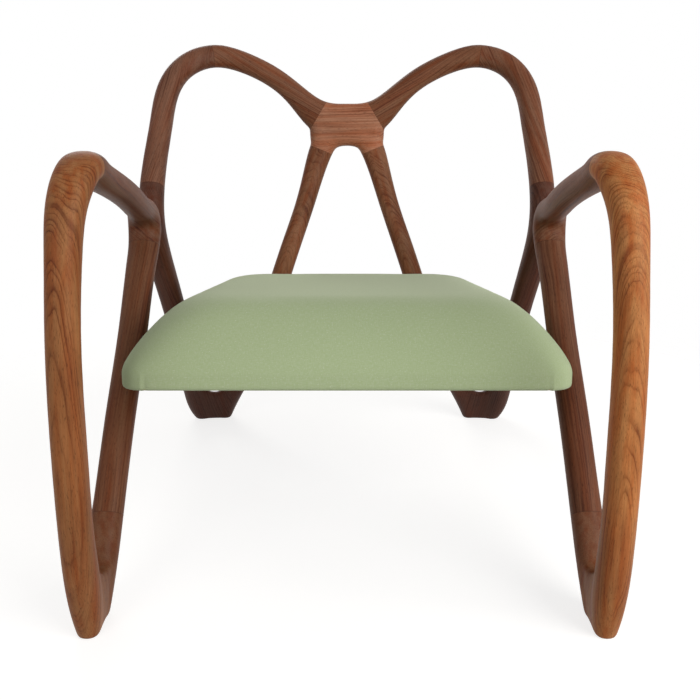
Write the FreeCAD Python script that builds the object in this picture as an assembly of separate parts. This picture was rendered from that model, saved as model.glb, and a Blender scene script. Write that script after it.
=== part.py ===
"""Lounge chair: a carved hardwood frame of flowing oval limbs and a domed, upholstered seat.

Millimetres, +Z up, the sitter faces -Y. The model is laid out from the front feet backwards and
is then moved so that its origin is the centre of its footprint box, on the floor.
"""

import FreeCAD, Part
import math
import os

Vector = FreeCAD.Vector
ACROSS = Vector(1, 0, 0)
BACK = Vector(0, 1, 0)
UP = Vector(0, 0, 1)

# Heights above the floor
chair_height = 737.0  # top of the back arches
arm_height = 596.0  # top of the arm, at its front crest
elbow_height = 458.0  # where arm and side rail turn into each other
hip_height = 462.0  # where back post and rear leg turn into each other
yoke_height = 602.0  # middle of the block that ties the back together
lumbar_height = 318.0  # foremost point of the back struts
crotch_height = 70.0  # top of the solid wood between two limbs that share a foot
crotch_radius = 24.0  # of the hollow that is worked into that wood
crotch_flare = 20.0  # how much wider the cutter for it is at its ends
yoke_crotch_height = 565.0  # underside of the yoke, between the struts

# Widths, each from limb centre to limb centre
front_foot_spread = 661.0
arm_crest_spread = 593.0
elbow_spread = 651.0
hip_spread = 640.0
arch_spread = 478.0
lumbar_spread = 256.0
rear_leg_foot_spread = 598.0
strut_foot_spread = 528.0
strut_head_spread = 96.0

# Setbacks, measured backwards from the front foot
leg_foot_setback = 6.0
leg_bow = 24.0  # how far the front leg bows forward of its foot
arm_crest_setback = 52.0
rail_foot_setback = 38.0

# Places along the chair's depth, measured from the seat's rear edge
elbow_lead = 154.0  # forward of it
hip_lead = 125.0
lumbar_lag = 21.0  # behind it
arch_lag = 70.0
yoke_lag = 83.0
rear_foot_lag = 145.0
strut_lead = 4.0  # how far the strut's head stands forward of the yoke's middle

# Limb sections
leg_width = 38.0
leg_depth = 40.0
arm_width = 41.0
arm_depth = 33.0
crest_width = 47.0
rail_width = 41.0
rail_depth = 37.0
back_width = 36.5  # in the plane of the back
back_depth = 35.0  # front to rear
rear_leg_width = 38.0
rear_leg_depth = 38.0
strut_width = 34.0
strut_depth = 34.5
elbow_width = 50.0
elbow_depth = 40.0
hip_depth = 44.0
yoke_block_height = 72.0
yoke_block_depth = 36.0
oval_power = 2.35  # 2 is an ellipse, larger is squarer
quarter_steps = 4  # spans in each quarter of a section
foot_reach = 10.0  # limbs run this far under the floor before they are trimmed to it
facet = 0.05  # how closely the footprint is measured

# Glue joints, each with a pair of dowels
dowel_diameter = 8.0
dowel_length = 40.0
dowel_gap = 0.08
dowel_spacing = 16.0
dowel_chamfer = 1.0
dowel_end_gap = 1.0
rail_top_joint_height = 424.0
rail_foot_joint_height = 112.0
strut_foot_joint_height = 122.0

# Seat, drawn level and then pitched about its front lower edge
seat_front_setback = 90.0
seat_height = 300.0  # underside of the seat at its front edge
seat_pitch = 7.0  # degrees, falling backwards
seat_front_width = 584.0
seat_rear_width = 498.0
seat_depth = 492.0
seat_corner_radius = 32.0
seat_frame_thickness = 20.0
seat_rail_width = 56.0
webbing_width = 50.0
webbing_thickness = 2.0
webbing_overlap = 34.0
webbing_lengthwise_count = 4
webbing_crosswise_count = 5
dome_height = 87.0
dome_roll = 70.0  # how far in from the edge the foam reaches its full height
dome_power = 1.44  # 1 is a quarter of an ellipse, 2 is a straight slope
dome_slices = 6
cover_thickness = 1.6
cover_return = 22.0  # how far the cover is folded in under the seat
soft_gap = 0.3
seat_dowel_diameter = 6.0
seat_dowel_length = 36.0
seat_dowel_spacing = 26.0

# Seat bearers and the screws that hold the seat on them
bearer_height = 28.0
bearer_edge = 13.0  # wood in front of and behind a bearer's screws and tenons
bearer_ear = 42.0  # how far in from its ends a bearer is widened to carry the tenons
bearer_rise = 6.0  # how far the underside arches up at mid-span
shoulder_gap = 0.5
tenon_length = 20.0
tenon_depth = 14.0
tenon_height = 16.0
tenon_gap = 0.1
screw_diameter = 4.5
screw_length = 34.0
screw_head_diameter = 9.0
screw_head_height = 3.6
screw_tip_length = 7.0
screw_gap = 0.1
screw_recess_diameter = 10.0
screw_grip = 15.0  # wood left between the screw head and the seat
front_screw_spread = 470.0
rear_screw_spread = 260.0
front_screw_depth = 158.0  # from the seat's front edge

# Shares along the limbs. A row is: share of the way across, back and up from the first
# named point to the second, share of the bow, then shares of the limb's two section sizes.
leg_shares = (
    (0.05, 0.02, 0.09, 0.30, 1.00, 1.02),
    (0.12, 0.03, 0.23, 0.75, 1.02, 1.00),
    (0.27, 0.04, 0.44, 1.00, 0.99, 0.99),
    (0.48, 0.06, 0.70, 0.88, 0.94, 0.95),
    (0.68, 0.14, 0.86, 0.55, 0.99, 0.96),
    (0.80, 0.40, 0.95, 0.20, 1.12, 0.96),
)
arm_shares = (
    (0.04, 0.114, 0.070, 0.00, 1.06, 1.00),
    (0.11, 0.240, 0.184, 0.00, 1.00, 1.00),
    (0.43, 0.660, 0.563, 0.00, 0.98, 1.00),
    (0.72, 0.845, 0.731, 0.00, 1.02, 1.04),
    (0.89, 0.944, 0.819, 0.00, 1.13, 1.13),
)
rail_shares = (
    (0.20, 0.020, 0.064, 0.00, 1.16, 1.06),
    (0.20, 0.097, 0.132, 0.00, 1.08, 1.01),
    (0.05, 0.289, 0.300, 0.00, 1.01, 0.97),
    (0.05, 0.588, 0.544, 0.00, 0.98, 0.99),
    (0.15, 0.804, 0.742, 0.00, 0.98, 1.02),
    (0.60, 0.938, 0.889, 0.00, 0.95, 1.02),
)
wing_shares = (
    (0.218, 0.00, 0.135, 0.00, 1.00, 1.50),
    (0.423, 0.00, 0.50, 0.00, 0.97, 0.99),
    (0.569, 0.00, 0.72, 0.00, 0.97, 0.93),
    (0.716, 0.10, 0.87, 0.00, 0.97, 0.93),
)
post_shares = (
    (0.59, 0.13, 0.08, 0.00, 1.00, 1.01),
    (0.85, 0.28, 0.21, 0.00, 1.00, 1.01),
    (0.94, 0.50, 0.42, 0.00, 1.00, 0.99),
    (0.99, 0.77, 0.67, 0.00, 1.03, 1.01),
)
rear_leg_shares = (
    (0.17, 0.14, 0.21, 0.00, 1.00, 1.02),
    (0.39, 0.29, 0.37, 0.00, 0.98, 1.00),
    (0.39, 0.55, 0.61, 0.00, 1.00, 1.00),
    (0.25, 0.81, 0.825, 0.00, 1.02, 1.00),
    (0.50, 0.94, 0.95, 0.00, 0.96, 0.96),
)
strut_crown_shares = ((0.80, 0.50, 0.36, 0.00, 1.01, 1.24),)
strut_head_shares = (
    (0.00, 0.00, 0.00, 0.00, 1.02, 1.22),
    (0.175, 0.20, 0.176, 0.00, 1.02, 1.07),
    (0.375, 0.47, 0.40, 0.00, 0.99, 0.97),
    (0.69, 0.83, 0.70, 0.00, 0.99, 0.98),
)
strut_foot_shares = (
    (0.25, 0.125, 0.29, 0.00, 1.02, 1.06),
    (0.555, 0.46, 0.585, 0.00, 1.04, 1.11),
    (0.80, 0.75, 0.785, 0.00, 1.06, 1.12),
)
foot_section_share = 0.60
strut_head_drop_share = 0.64  # of the yoke block, from its middle down to the strut joint
hip_face_share = 0.42  # of the way from elbow to hip, where their glue face lies
arm_joint_share = 0.20  # of the way from the crest to the next station
post_joint_share = 0.45  # of the way from the station above down to the hip
# The wood in a crotch: level as a share of its height, thickness as a share of the limb
web_shares = ((0.0, 0.94), (0.5, 0.90), (1.0, 0.72))
hollow_share = 0.62  # of the hollow's radius, where the wood beside it ends
dome_corner_share = 0.35  # how much rounder the seat's corners get towards the crown
dome_turn_share = 0.97  # of the quarter turn from upright edge to level crown


def through(points, marks):
    """A smooth curve that passes each point at its mark."""
    curve = Part.BSplineCurve()
    curve.interpolate(Points=points, Parameters=marks)
    return curve


def stations(start, end, bow, sizes, shares):
    """Points and section sizes on the way from start to end, from a table of shares."""
    rows = []
    for across, back, up, bowed, first, second in shares:
        span = end - start
        point = start + Vector(span.x * across, span.y * back, span.z * up) + bow * bowed
        rows.append((point, sizes[0] * first, sizes[1] * second))
    return rows


def mirrored(shape):
    """The same shape on the other side of the chair's middle plane."""
    return shape.mirror(Vector(0, 0, 0), ACROSS)


class Limb:
    """A smooth centre line with an oval section that changes along it.

    The first section size lies along the reference direction, the second across it.
    """

    def __init__(self, rows, reference):
        points = [row[0] for row in rows]
        self.marks = [0.0]
        for here, there in zip(points, points[1:]):
            self.marks.append(self.marks[-1] + (there - here).Length)
        self.line = through(points, self.marks)
        sizes = [Vector(row[1], row[2], mark) for row, mark in zip(rows, self.marks)]
        self.sizes = through(sizes, self.marks)
        self.reference = reference

    def frame(self, mark):
        """Centre, direction and the two section axes at a mark."""
        centre = self.line.value(mark)
        along = Vector(*self.line.tangent(mark)[0]).normalize()
        first = (self.reference - along * self.reference.dot(along)).normalize()
        return centre, along, first, along.cross(first)

    def section(self, mark):
        """The closed outline at a mark, in four quarters that run smoothly into each other."""
        centre, _, first, second = self.frame(mark)
        size = self.sizes.value(mark)
        headings = (second, first * -1, second * -1, first)
        edges = []
        for quarter in range(4):
            points = []
            for k in range(quarter_steps + 1):
                turn = math.pi / 2 * (quarter + k / quarter_steps)
                run, rise = (
                    math.copysign(abs(v) ** (2 / oval_power), v) for v in (math.cos(turn), math.sin(turn))
                )
                points.append(centre + first * (run * size.x / 2) + second * (rise * size.y / 2))
            arc = Part.BSplineCurve()
            ends = headings[quarter], headings[(quarter + 1) % 4]
            arc.interpolate(Points=points, InitialTangent=ends[0], FinalTangent=ends[1])
            edges.append(arc.toShape())
        return Part.Wire(edges)

    def solid(self, low, high):
        """The limb between two marks, with flat ends square to its line."""
        inner = [m for m in self.marks if low < m < high]
        knots = [low] + inner + [high]
        marks = []
        for a, b in zip(knots, knots[1:]):
            marks += [a, (a + b) / 2]
        return Part.makeLoft([self.section(m) for m in marks + [high]], True, False)

    def mark_where(self, measure, target, low, high):
        """The mark between two others where a measure of the line's points passes a target."""
        rising = measure(self.line.value(high)) > measure(self.line.value(low))
        for _ in range(60):
            middle = (low + high) / 2
            if (measure(self.line.value(middle)) < target) == rising:
                low = middle
            else:
                high = middle
        return (low + high) / 2

    def mark_at_height(self, height, low, high):
        return self.mark_where(lambda point: point.z, height, low, high)


def above_floor(shape):
    """Trims a limb flat where it stands on the floor."""
    box = shape.BoundBox
    slab = Part.makeBox(box.XLength * 2, box.YLength * 2, foot_reach * 2)
    slab.translate(Vector(box.Center.x - box.XLength, box.Center.y - box.YLength, -foot_reach * 2))
    return shape.cut(slab)


def beyond(point, normal, size):
    """A block that fills the side of a plane that its normal points to."""
    block = Part.makeBox(size, size, size, Vector(-size / 2, -size / 2, 0))
    block.Placement = FreeCAD.Placement(point, FreeCAD.Rotation(UP, normal))
    return block


def web_ends(first, second, height):
    """Two limbs at a height: their centres, half the wood between them, the gap's middle."""
    centres, halves, sides = [], [], []
    for limb, low, high in (first, second):
        mark = limb.mark_at_height(height, low, high)
        size = limb.sizes.value(mark)
        centres.append(limb.line.value(mark))
        halves.append(min(size.x, size.y) / 2)
        sides.append(size.y / 2 / abs(limb.frame(mark)[1].z))
    run = (centres[1] - centres[0]).normalize()
    gap_middle = (centres[0] + centres[1] + run * (sides[0] - sides[1])) / 2
    return centres[0], centres[1], sum(halves) / 2, gap_middle


def web(first, second):
    """Wood that fills the crotch between two limbs: flat-sided ovals stacked up the foot.

    A round hollow is then worked into the top of the stack.
    """
    wires = []
    for level, thickness in web_shares:
        a, b, radius, _ = web_ends(first, second, web_top * level)
        radius *= thickness
        run = (b - a).normalize()
        side = UP.cross(run)
        corners = [a + side * radius, b + side * radius, b - side * radius, a - side * radius]
        wires.append(
            Part.Wire(
                [
                    Part.LineSegment(corners[0], corners[1]).toShape(),
                    Part.Arc(corners[1], b + run * radius, corners[2]).toShape(),
                    Part.LineSegment(corners[2], corners[3]).toShape(),
                    Part.Arc(corners[3], a - run * radius, corners[0]).toShape(),
                ]
            )
        )
    filling = Part.makeLoft(wires, True, False)
    a, b, radius, gap_middle = web_ends(first, second, crotch_height + crotch_radius)
    return filling.cut(hollow(gap_middle, UP.cross(b - a).normalize(), radius * 2))


def hollow(centre, axis, half):
    """A round cutter, narrowest at its middle, that leaves a saddle-shaped crotch."""
    mouth = crotch_radius + crotch_flare
    low, high = Vector(mouth, 0, -half), Vector(mouth, 0, half)
    foot, head = Vector(0, 0, -half), Vector(0, 0, half)
    outline = Part.Wire(
        [
            Part.LineSegment(foot, low).toShape(),
            Part.Arc(low, Vector(crotch_radius, 0, 0), high).toShape(),
            Part.LineSegment(high, head).toShape(),
            Part.LineSegment(head, foot).toShape(),
        ]
    )
    cutter = Part.Face(outline).revolve(Vector(0, 0, 0), UP, 360)
    cutter.Placement = FreeCAD.Placement(centre, FreeCAD.Rotation(UP, axis))
    return cutter


def box_between(low, high):
    size = high - low
    return Part.makeBox(size.x, size.y, size.z, low)


def cylinder(diameter, centre, direction, length):
    """A rod of a diameter, centred on a point."""
    return Part.makeCylinder(diameter / 2, length, centre - direction * (length / 2), direction)


class Joint:
    """A flat glue face between two pieces, with two dowels square to it."""

    def __init__(self, centre, normal, spread):
        self.centre, self.normal = centre, normal
        self.places = [centre + spread * (s * dowel_spacing / 2) for s in (-1, 1)]

    def dowels(self):
        rods = []
        for place in self.places:
            rod = cylinder(dowel_diameter, place, self.normal, dowel_length)
            rods.append(rod.makeChamfer(dowel_chamfer, [e for e in rod.Edges if e.Closed]))
        return rods

    def holes(self):
        length = dowel_length + 2 * dowel_end_gap
        return [cylinder(dowel_diameter + 2 * dowel_gap, p, self.normal, length) for p in self.places]


def limb_joint(limb, mark):
    """A joint square across a limb, its dowels side by side in the wider direction."""
    centre, along, first, second = limb.frame(mark)
    size = limb.sizes.value(mark)
    return Joint(centre, along, first if size.x > size.y else second)


# Named points of the right-hand side
seat_rear_setback = seat_front_setback + seat_depth
yoke_setback = seat_rear_setback + yoke_lag
rear_foot_setback = seat_rear_setback + rear_foot_lag
front_foot = Vector(front_foot_spread / 2, leg_foot_setback, 0)
arm_crest = Vector(arm_crest_spread / 2, arm_crest_setback, arm_height - arm_depth / 2)
elbow = Vector(elbow_spread / 2, seat_rear_setback - elbow_lead, elbow_height)
rail_foot = Vector(front_foot.x, rail_foot_setback, 0)
hip = Vector(hip_spread / 2, seat_rear_setback - hip_lead, hip_height)
arch = Vector(arch_spread / 2, seat_rear_setback + arch_lag, chair_height - back_width / 2)
yoke_centre = Vector(0, yoke_setback, yoke_height)
rear_leg_foot = Vector(rear_leg_foot_spread / 2, rear_foot_setback, 0)
strut_head_height = yoke_height - yoke_block_height * strut_head_drop_share
strut_head = Vector(strut_head_spread / 2, yoke_setback - strut_lead, strut_head_height)
strut_crown = Vector(0, yoke_setback, yoke_crotch_height + strut_width / 2)
lumbar = Vector(lumbar_spread / 2, seat_rear_setback + lumbar_lag, lumbar_height)
strut_foot = Vector(strut_foot_spread / 2, rear_foot_setback, 0)

# The two loops of each side: leg, arm and rail in one, back, post and rear leg in the other
nowhere = Vector(0, 0, 0)
leg_sizes = (leg_width, leg_depth)
arm_sizes = (arm_width, arm_depth)
rail_sizes = (rail_width, rail_depth)
back_sizes = (back_depth, back_width)
rear_leg_sizes = (rear_leg_depth, rear_leg_width)
strut_sizes = (strut_depth, strut_width)
below = Vector(0, 0, -foot_reach)


def foot_row(point, sizes):
    return (point + below, sizes[0] * foot_section_share, sizes[1] * foot_section_share)


def both_sides(middle_row, rows):
    """A limb that runs from the left foot over the chair's middle to the right foot."""
    left = [(Vector(-p.x, p.y, p.z), a, b) for p, a, b in reversed(rows)]
    return Limb(left + [middle_row] + rows, BACK)


leg_rows = [foot_row(front_foot, leg_sizes)]
leg_rows += stations(front_foot, arm_crest, BACK * -leg_bow, leg_sizes, leg_shares)
leg_rows += [(arm_crest, crest_width, arm_depth)]
arm_rows = stations(arm_crest, elbow, nowhere, arm_sizes, arm_shares)
arm_rows += [(elbow, elbow_width, elbow_depth)]
rail_rows = stations(elbow, rail_foot, nowhere, rail_sizes, rail_shares)
rail_rows += [foot_row(rail_foot, rail_sizes)]
side_loop = Limb(leg_rows + arm_rows + rail_rows, ACROSS)
crest_mark = side_loop.marks[len(leg_rows) - 1]
elbow_mark = side_loop.marks[len(leg_rows) + len(arm_rows) - 1]

wing_rows = stations(yoke_centre, arch, nowhere, back_sizes, wing_shares)
wing_rows += [(arch, back_depth, back_width)]
post_rows = stations(arch, hip, nowhere, back_sizes, post_shares)
post_rows += [(hip, hip_depth, rear_leg_width)]
rear_rows = stations(hip, rear_leg_foot, nowhere, rear_leg_sizes, rear_leg_shares)
rear_rows += [foot_row(rear_leg_foot, rear_leg_sizes)]
right_rows = wing_rows + post_rows + rear_rows
back_loop = both_sides((yoke_centre, yoke_block_depth, yoke_block_height), right_rows)
middle = len(right_rows)
wing_mark = back_loop.marks[middle + 1]
arch_mark = back_loop.marks[middle + len(wing_rows)]
hip_mark = back_loop.marks[middle + len(wing_rows) + len(post_rows)]

crown_rows = stations(strut_crown, strut_head, nowhere, strut_sizes, strut_crown_shares)
strut_rows = stations(strut_head, lumbar, nowhere, strut_sizes, strut_head_shares)
strut_rows += [(lumbar, strut_depth, strut_width)]
strut_rows += stations(lumbar, strut_foot, nowhere, strut_sizes, strut_foot_shares)
strut_rows += [foot_row(strut_foot, rear_leg_sizes)]
strut = both_sides((strut_crown, strut_depth, strut_width), crown_rows + strut_rows)
left_strut_head_mark = strut.marks[len(strut_rows) - 1]
strut_head_mark = strut.marks[len(strut_rows) + 2 * len(crown_rows) + 1]

# Glue joints of the right-hand side
arm_mark = crest_mark + (side_loop.marks[len(leg_rows)] - crest_mark) * arm_joint_share
rail_top_mark = side_loop.mark_at_height(rail_top_joint_height, elbow_mark, side_loop.marks[-1])
rail_foot_mark = side_loop.mark_at_height(rail_foot_joint_height, elbow_mark, side_loop.marks[-1])
above_hip_mark = back_loop.marks[middle + len(wing_rows) + len(post_rows) - 1]
post_mark = hip_mark - (hip_mark - above_hip_mark) * (1 - post_joint_share)
strut_foot_mark = strut.mark_at_height(strut_foot_joint_height, strut_head_mark, strut.marks[-1])
toward_hip = (hip - elbow).normalize()
hip_face = elbow + (hip - elbow) * hip_face_share

arm_joint = limb_joint(side_loop, arm_mark)
rail_top_joint = limb_joint(side_loop, rail_top_mark)
rail_foot_joint = limb_joint(side_loop, rail_foot_mark)
hip_joint = Joint(hip_face, toward_hip, UP)
post_joint = limb_joint(back_loop, post_mark)
arch_joint = limb_joint(back_loop, arch_mark)
wing_joint = limb_joint(back_loop, wing_mark)
strut_head_joint = limb_joint(strut, strut_head_mark)
strut_foot_joint = limb_joint(strut, strut_foot_mark)

# Carved pieces of the right-hand side
reach = chair_height
behind_hip_face = beyond(hip_face, toward_hip, reach)
before_hip_face = beyond(hip_face, toward_hip * -1, reach)
web_top = crotch_height + crotch_radius * hollow_share

front_leg = side_loop.solid(side_loop.marks[0], arm_mark)
front_leg = front_leg.fuse(side_loop.solid(rail_foot_mark, side_loop.marks[-1]))
front_leg = front_leg.fuse(
    web(
        (side_loop, side_loop.marks[0], crest_mark),
        (side_loop, elbow_mark, side_loop.marks[-1]),
    )
)
front_leg = above_floor(front_leg)
arm = side_loop.solid(arm_mark, rail_top_mark).cut(behind_hip_face)
side_rail = side_loop.solid(rail_top_mark, rail_foot_mark).cut(behind_hip_face)
top_rail = back_loop.solid(wing_mark, arch_mark)
back_post = back_loop.solid(arch_mark, post_mark).cut(before_hip_face)
rear_leg = back_loop.solid(post_mark, back_loop.marks[-1]).cut(before_hip_face)
rear_leg = rear_leg.fuse(strut.solid(strut_foot_mark, strut.marks[-1]))
rear_leg = rear_leg.fuse(
    web(
        (back_loop, hip_mark, back_loop.marks[-1]),
        (strut, strut_head_mark, strut.marks[-1]),
    )
)
rear_leg = above_floor(rear_leg)
back_strut = strut.solid(strut_head_mark, strut_foot_mark)
yoke = back_loop.solid(back_loop.marks[middle - 1], wing_mark)
yoke = yoke.fuse(strut.solid(left_strut_head_mark, strut_head_mark))

# Seat: everything is drawn level, front edge on the X axis, then pitched into place
seat_slope = (seat_front_width - seat_rear_width) / 2 / seat_depth
seat_placement = FreeCAD.Placement(
    Vector(0, seat_front_setback, seat_height), FreeCAD.Rotation(ACROSS, -seat_pitch)
)
seat_top = seat_frame_thickness
lining = cover_thickness + soft_gap


def in_seat(point):
    """A point of the chair, seen from the level seat."""
    return seat_placement.inverse().multVec(point)


def on_chair(shape):
    shape.Placement = seat_placement.multiply(shape.Placement)
    return shape


def half_width(back, inset):
    """Half the seat's width at a distance back, drawn in by an inset."""
    return seat_front_width / 2 - seat_slope * back - inset * math.hypot(1, seat_slope)


def rounded(points, radius):
    """A closed outline of lines through corner points, the corners rounded by arcs."""
    rounds = []
    for k, corner in enumerate(points):
        a = (points[k - 1] - corner).normalize()
        b = (points[(k + 1) % len(points)] - corner).normalize()
        half = math.acos(a.dot(b)) / 2
        inward = (a + b).normalize()
        middle_point = corner + inward * (radius / math.sin(half) - radius)
        tangent = radius / math.tan(half)
        rounds.append((corner + a * tangent, middle_point, corner + b * tangent))
    edges = []
    for k, (start, middle_point, end) in enumerate(rounds):
        edges.append(Part.Arc(start, middle_point, end).toShape())
        edges.append(Part.LineSegment(end, rounds[(k + 1) % len(rounds)][0]).toShape())
    return Part.Wire(edges)


def seat_outline(inset, level, radius):
    """The seat's rounded outline at a level, drawn in by an inset."""
    corners = []
    for back, side in ((inset, -1), (inset, 1), (seat_depth - inset, 1), (seat_depth - inset, -1)):
        corners.append(Vector(side * half_width(back, inset), back, level))
    return rounded(corners, radius)


def seat_slab(inset, low, high):
    wire = seat_outline(inset, low, seat_corner_radius - inset * dome_corner_share)
    return Part.Face(wire).extrude(UP * (high - low))


def seat_dome(inset):
    """The crowned part above the wooden frame: outlines that draw in as they rise."""
    wires = []
    for k in range(dome_slices + 1):
        turn = math.pi / 2 * dome_turn_share * k / dome_slices
        drawn = inset + dome_roll * (1 - math.cos(turn) ** dome_power)
        level = seat_top + (dome_height - inset) * math.sin(turn) ** dome_power
        wires.append(seat_outline(drawn, level, seat_corner_radius + drawn * dome_corner_share))
    return Part.makeLoft(wires, True, False)


def seat_zone(back_low, back_high, level_low, level_high):
    """A full-width block of the seat between two distances back and two levels."""
    half = seat_front_width / 2
    return box_between(Vector(-half, back_low, level_low), Vector(half, back_high, level_high))


# Wooden seat frame
inner_front = seat_rail_width
inner_back = seat_depth - seat_rail_width
board = seat_slab(lining, 0, seat_top)
seat_rail_front = board.common(seat_zone(0, inner_front, 0, seat_top))
seat_rail_rear = board.common(seat_zone(inner_back, seat_depth, 0, seat_top))


def seat_side_rail(side):
    corners = []
    for back, inset in (
        (inner_front, lining),
        (inner_back, lining),
        (inner_back, seat_rail_width),
        (inner_front, seat_rail_width),
    ):
        corners.append(Vector(side * half_width(back, inset), back, 0))
    outline = Part.makePolygon(corners + corners[:1])
    return Part.Face(outline).extrude(UP * seat_top)


seat_rail_left, seat_rail_right = seat_side_rail(-1), seat_side_rail(1)
seat_dowels = []
for back in (inner_front, inner_back):
    for side in (-1, 1):
        centre_x = side * half_width(back, (lining + seat_rail_width) / 2)
        for step in (-1, 1):
            place = Vector(centre_x + step * seat_dowel_spacing / 2, back, seat_top / 2)
            seat_dowels.append((place, BACK))
seat_frame_dowels = Part.Compound(
    [cylinder(seat_dowel_diameter, place, way, seat_dowel_length) for place, way in seat_dowels]
)
seat_dowel_holes = [
    cylinder(seat_dowel_diameter + 2 * dowel_gap, place, way, seat_dowel_length + 2 * dowel_end_gap)
    for place, way in seat_dowels
]

# Webbing: lengthwise straps lie on the frame, crosswise straps step up over them
strap_inset = seat_rail_width - webbing_overlap
strap_pitch = 2 * half_width(inner_back, seat_rail_width) / (webbing_lengthwise_count + 0.5)
strap_half = webbing_width / 2
lengthwise = []
for k in range(webbing_lengthwise_count):
    x = (k - (webbing_lengthwise_count - 1) / 2) * strap_pitch
    low = Vector(x - strap_half, strap_inset, seat_top)
    high = Vector(x + strap_half, seat_depth - strap_inset, seat_top + webbing_thickness)
    lengthwise.append(box_between(low, high))
outermost = strap_pitch * (webbing_lengthwise_count - 1) / 2 + strap_half
crosswise = []
cross_pitch = (inner_back - inner_front) / webbing_crosswise_count
for k in range(webbing_crosswise_count):
    back = inner_front + cross_pitch * (k + 0.5)
    far = back + strap_half
    end = half_width(far, strap_inset)
    foot = half_width(far, seat_rail_width)
    top = outermost + soft_gap
    lower = [(end, 0), (foot, 0), (top, webbing_thickness + soft_gap)]
    lower += [(-x, z) for x, z in reversed(lower)]
    upper = [(x, z + webbing_thickness) for x, z in reversed(lower)]
    corners = [Vector(x, back - strap_half, seat_top + z) for x, z in lower + upper]
    crosswise.append(Part.Face(Part.makePolygon(corners + corners[:1])).extrude(BACK * webbing_width))
webbing_lengthwise = Part.Compound(lengthwise)
webbing_crosswise = Part.Compound(crosswise)

# Foam, cover and dust cover
foam_level = seat_top + 2 * (webbing_thickness + soft_gap)
foam = seat_dome(lining + soft_gap).cut(seat_zone(0, seat_depth, seat_top, foam_level))
cover = seat_slab(0, -cover_thickness, seat_top).fuse(seat_dome(0))
cover = cover.cut(seat_slab(cover_thickness, 0, seat_top).fuse(seat_dome(cover_thickness)))
cover = cover.cut(seat_slab(cover_return, -cover_thickness, 0))
dust_cover = seat_slab(cover_return + soft_gap, -cover_thickness, 0)


# Bearers: a bar with a tenon at each end, its underside arched
class Bearer:
    """A bar along the line of its screws, with ears that reach the tenons in a pair of limbs."""

    def __init__(self, screw_back, limb, low, high):
        self.level = -cover_thickness - bearer_height / 2
        mark = limb.mark_where(lambda point: in_seat(point).z, self.level, low, high)
        centre = in_seat(limb.line.value(mark))
        size = limb.sizes.value(mark)
        width = size.x if limb.reference == ACROSS else size.y
        self.half = centre.x - width / 2 - shoulder_gap
        self.tenon_back = centre.y
        self.screw_back = screw_back
        self.front = min(screw_back, centre.y) - bearer_edge
        self.rear = max(screw_back, centre.y) + bearer_edge

    def tenons(self, grow):
        """The bar that runs through to both tenon ends, larger by a fit."""
        reach_x = self.half + tenon_length + grow
        depth, rise = tenon_depth / 2 + grow, tenon_height / 2 + grow
        low = Vector(-reach_x, self.tenon_back - depth, self.level - rise)
        return box_between(low, Vector(reach_x, self.tenon_back + depth, self.level + rise))

    def solid(self):
        top, base = -cover_thickness, -cover_thickness - bearer_height
        a, b = Vector(-self.half, self.front, top), Vector(self.half, self.front, top)
        c, d = Vector(self.half, self.front, base), Vector(-self.half, self.front, base)
        edges = [Part.LineSegment(*pair).toShape() for pair in ((a, b), (b, c), (d, a))]
        edges.insert(2, Part.Arc(c, Vector(0, self.front, base + bearer_rise), d).toShape())
        bar = Part.Face(Part.Wire(edges)).extrude(BACK * (self.rear - self.front))
        toward = math.copysign(bearer_edge, self.tenon_back - self.screw_back)
        near, far = sorted((self.screw_back + toward, self.tenon_back + toward))
        middle = self.half - bearer_ear
        spare = box_between(Vector(-middle, near, base), Vector(middle, far, top))
        between = box_between(Vector(-self.half, self.front, base), Vector(self.half, self.rear, top))
        return bar.cut(spare).fuse(self.tenons(0).cut(between))


front_bearer = Bearer(front_screw_depth, side_loop, rail_top_mark, rail_foot_mark)
rear_bearer = Bearer(seat_depth - seat_rail_width / 2, back_loop, hip_mark, back_loop.marks[-1])


# Screws, driven up through the bearers into the seat frame
def screw(place):
    radius = screw_diameter / 2
    head = Part.makeCylinder(screw_head_diameter / 2, screw_head_height, place - UP * screw_head_height)
    shank = Part.makeCylinder(radius, screw_length - screw_tip_length, place)
    tip = Part.makeCone(radius, radius / 4, screw_tip_length, place + UP * (screw_length - screw_tip_length))
    return head.fuse(shank).fuse(tip)


def screw_hole(place):
    bore = Part.makeCylinder(screw_diameter / 2 + screw_gap, screw_length + 2 * screw_gap, place)
    depth = bearer_height
    recess = Part.makeCylinder(screw_recess_diameter / 2, depth, place - UP * depth)
    return bore.fuse(recess)


screw_level = -cover_thickness - screw_grip
screw_places = []
for side in (-1, 1):
    screw_places.append(Vector(side * front_screw_spread / 2, front_bearer.screw_back, screw_level))
    screw_places.append(Vector(side * rear_screw_spread / 2, rear_bearer.screw_back, screw_level))
screw_holes = [screw_hole(place) for place in screw_places]
seat_screws = Part.Compound([screw(place) for place in screw_places])

# Every piece by name, the seat's in place on the chair
pieces = {
    "front_bearer": on_chair(front_bearer.solid().cut(screw_holes)),
    "rear_bearer": on_chair(rear_bearer.solid().cut(screw_holes)),
    "seat_rail_front": on_chair(seat_rail_front.cut(seat_dowel_holes + screw_holes)),
    "seat_rail_rear": on_chair(seat_rail_rear.cut(seat_dowel_holes + screw_holes)),
    "seat_rail_left": on_chair(seat_rail_left.cut(seat_dowel_holes + screw_holes)),
    "seat_rail_right": on_chair(seat_rail_right.cut(seat_dowel_holes + screw_holes)),
    "seat_frame_dowels": on_chair(seat_frame_dowels),
    "webbing_lengthwise": on_chair(webbing_lengthwise),
    "webbing_crosswise": on_chair(webbing_crosswise),
    "seat_foam": on_chair(foam),
    "seat_cover": on_chair(cover.cut(screw_holes)),
    "dust_cover": on_chair(dust_cover.cut(screw_holes)),
    "seat_screws": on_chair(seat_screws),
}
front_mortise = on_chair(front_bearer.tenons(tenon_gap))
rear_mortise = on_chair(rear_bearer.tenons(tenon_gap))

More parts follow.
